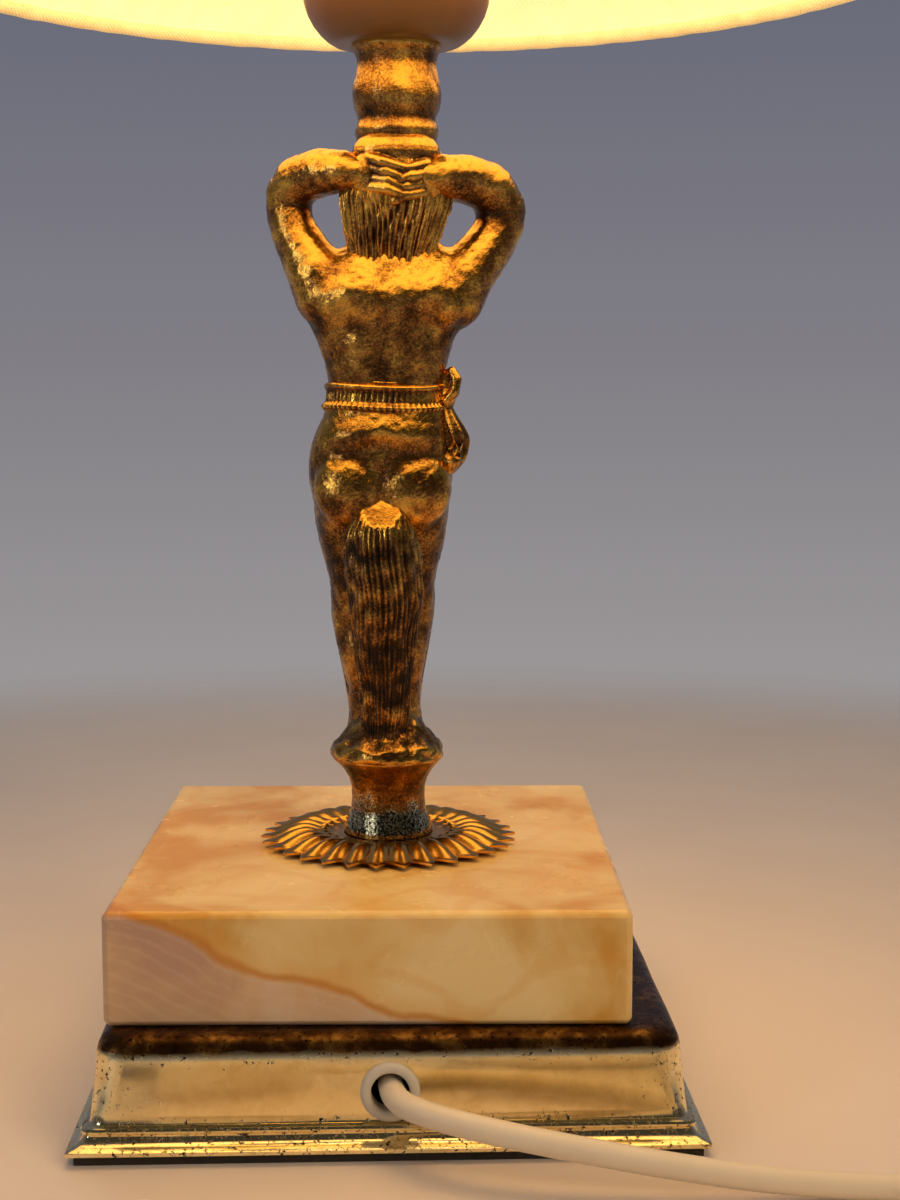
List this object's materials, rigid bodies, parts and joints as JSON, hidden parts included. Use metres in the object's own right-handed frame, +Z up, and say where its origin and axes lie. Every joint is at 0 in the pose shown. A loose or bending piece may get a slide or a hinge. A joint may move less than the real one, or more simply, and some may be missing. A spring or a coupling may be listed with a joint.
{
  "type": "figural table lamp",
  "caption": "Table lamp: cast standing figure on a stone block and stamped metal base, screw lampholder, conical fabric shade, corded with in-line switch and plug.",
  "frame": {"origin": "middle of the underside of the base, on the surface that the lamp stands on", "axes": "+Z up; the figure faces -Y; the cord leaves the base at +Y"},
  "size_m": [0.2615, 0.3321, 0.4163],
  "materials": {
    "base_board": "matt",
    "stamped_brass": "lacquered, worn",
    "zinc_steel": "zinc plated",
    "white_pvc": "moulded",
    "brown_core": "moulded",
    "blue_core": "moulded",
    "cord_pvc": "extruded",
    "onyx": "polished",
    "fibre_washer": "matt",
    "rosette_brass": "pressed, lacquered",
    "gilt_spelter": "gilt cast, worn",
    "cream_bakelite": "moulded",
    "white_ceramic": "unglazed",
    "plain_brass": "drawn",
    "opal_glass": "opal",
    "cap_aluminium": "drawn",
    "black_glass": "glossy",
    "solder": "dull",
    "shade_fabric": "woven on card",
    "shade_trim": "bias tape",
    "white_wire": "enamelled",
    "switch_plastic": "moulded",
    "rocker_plastic": "moulded",
    "tie_paper": "plastic coated",
    "nickel_pins": "plated"
  },
  "bodies": {
    "stand": {"base_pad": "base_board", "base_cover": "stamped_brass", "clamp_plate": "zinc_steel", "tube_washer": "zinc_steel", "tube_nut": "zinc_steel", "threaded_tube": "zinc_steel", "cord_grommet": "white_pvc", "cord_saddle": "white_pvc", "saddle_screws": "zinc_steel", "inner_flex": "cord_pvc", "live_core": "brown_core", "neutral_core": "blue_core", "onyx_block": "onyx", "stone_washer": "fibre_washer", "petal_rosette": "rosette_brass", "figure_casting": "gilt_spelter", "top_nipple": "zinc_steel", "holder_dome": "cream_bakelite", "holder_core": "white_ceramic", "terminal_screws": "plain_brass", "centre_contact": "plain_brass", "screw_shell": "plain_brass", "holder_sleeve": "cream_bakelite", "shade_ring_lower": "cream_bakelite", "flex_run": "cord_pvc", "switch_base": "switch_plastic", "switch_cover": "switch_plastic", "switch_screws": "zinc_steel", "flex_link": "cord_pvc", "flex_coil": "cord_pvc", "coil_tie": "tie_paper", "flex_tail": "cord_pvc", "plug_body": "switch_plastic", "plug_pins": "nickel_pins"},
    "bulb": {"bulb_glass": "opal_glass", "bulb_cap": "cap_aluminium", "bulb_insulator": "black_glass", "bulb_contact": "solder"},
    "shade": {"shade_wall": "shade_fabric", "shade_frame": "white_wire", "shade_bottom_ring": "white_wire", "shade_bottom_trim": "shade_trim", "shade_top_trim": "shade_trim"},
    "clamp_ring": {"shade_ring_upper": "cream_bakelite"},
    "rocker": {"switch_rocker": "rocker_plastic"}
  },
  "joints": [
    {"name": "shade_turn", "type": "hinge", "parent": "stand", "child": "shade", "pos_m": [-0.0025, 0, 0.2665], "axis": [0, 0, 1], "continuous": true},
    {"name": "clamp_ring_turn", "type": "hinge", "parent": "stand", "child": "clamp_ring", "pos_m": [-0.0025, 0, 0.2695], "axis": [0, 0, 1], "continuous": true},
    {"name": "bulb_turn", "type": "hinge", "parent": "stand", "child": "bulb", "pos_m": [-0.0025, 0, 0.27], "axis": [0, 0, 1], "continuous": true},
    {"name": "rocker_tilt", "type": "hinge", "parent": "stand", "child": "rocker", "pos_m": [-0.124, 0.142, 0.0134], "axis": [1, 0, 0], "range_deg": [0, 16]}
  ]
}
